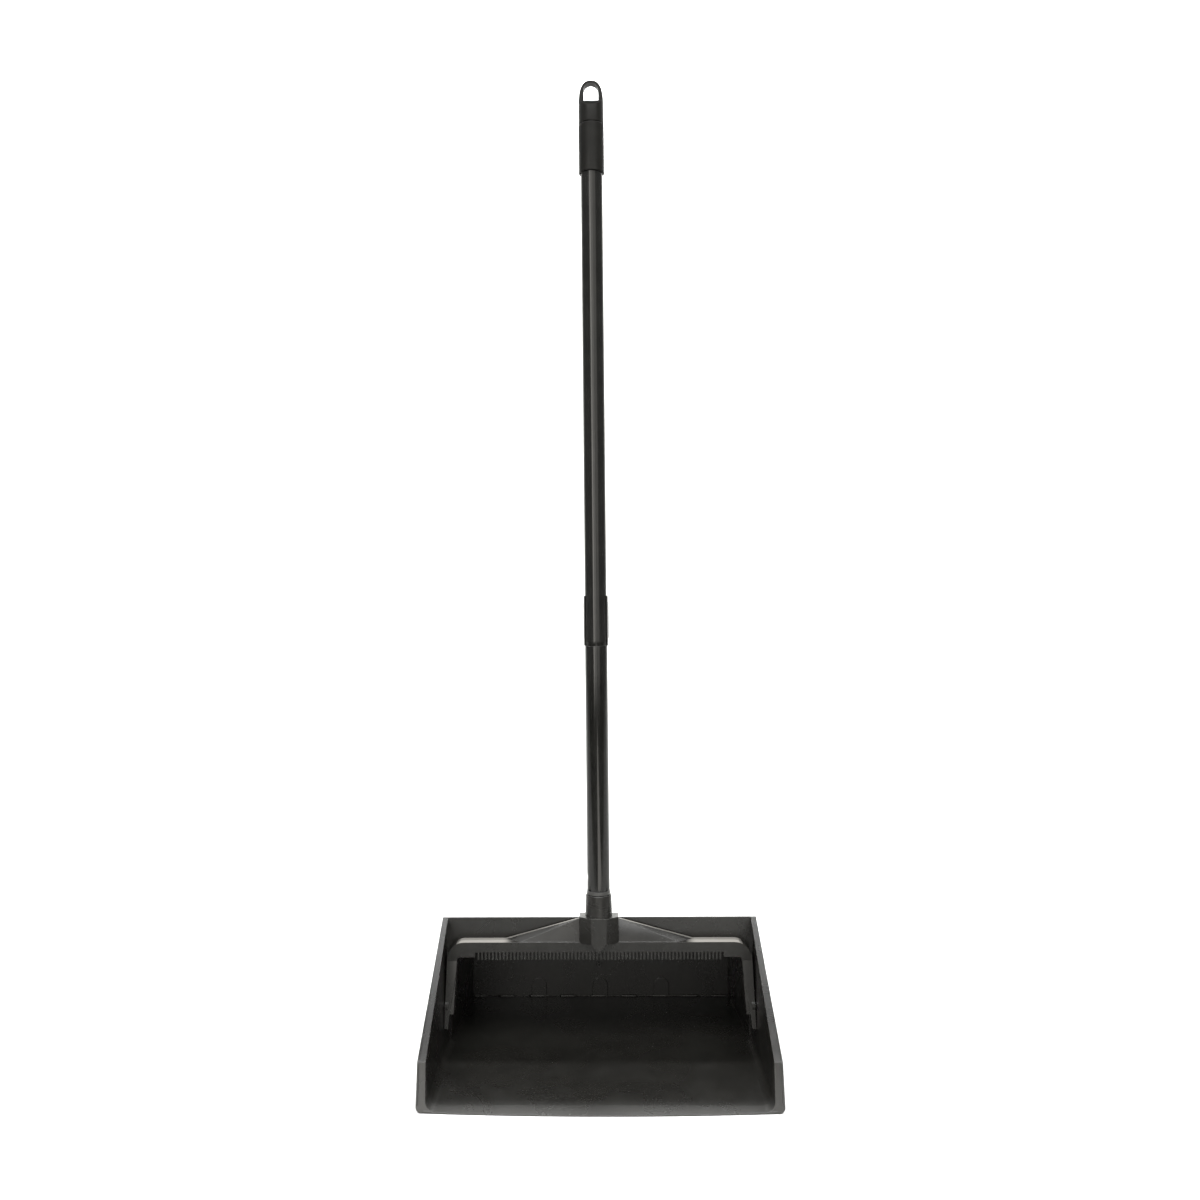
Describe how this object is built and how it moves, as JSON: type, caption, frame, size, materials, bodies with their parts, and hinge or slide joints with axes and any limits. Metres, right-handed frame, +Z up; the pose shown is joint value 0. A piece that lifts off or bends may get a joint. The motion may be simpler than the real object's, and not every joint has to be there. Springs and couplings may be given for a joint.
{
  "type": "long-handled dust pan",
  "caption": "Hooded dust pan on a long pole: the pole's yoke swings on two side pivots, combs a brush, and a snap clip on the pole holds the brush.",
  "frame": {"origin": "on the floor, under the middle of the pan", "axes": "+Z up along the pole, -Y towards the lip that scoops, +X to the right as the lip is faced"},
  "size_m": [0.3096, 0.265, 0.9315],
  "materials": {
    "pan_plastic": "charcoal moulded polypropylene, satin",
    "yoke_plastic": "charcoal moulded polypropylene, satin",
    "insert_plastic": "dark grey moulded plastic",
    "tube_coating": "gloss black powder coat on thin steel tube",
    "grip_plastic": "black moulded plastic, matt",
    "clip_plastic": "black springy moulded plastic"
  },
  "bodies": {
    "pan": {"pan_shell": "pan_plastic", "left_pivot_pin": "insert_plastic", "right_pivot_pin": "insert_plastic"},
    "handle": {"yoke": "yoke_plastic", "tube_plug": "insert_plastic", "lower_tube": "tube_coating", "tube_coupling": "insert_plastic", "upper_tube": "tube_coating", "grip_sleeve": "grip_plastic", "hanger_cap": "grip_plastic"},
    "clip": {"brush_clip": "clip_plastic"}
  },
  "joints": [
    {"name": "handle_swing", "type": "hinge", "parent": "pan", "child": "handle", "pos_m": [0, -0.0055, 0.0435], "axis": [1, 0, 0], "range_deg": [0, 90]},
    {"name": "clip_slide", "type": "slide", "parent": "handle", "child": "clip", "axis": [0, 0, 1], "range_m": [0, 0.38]}
  ]
}
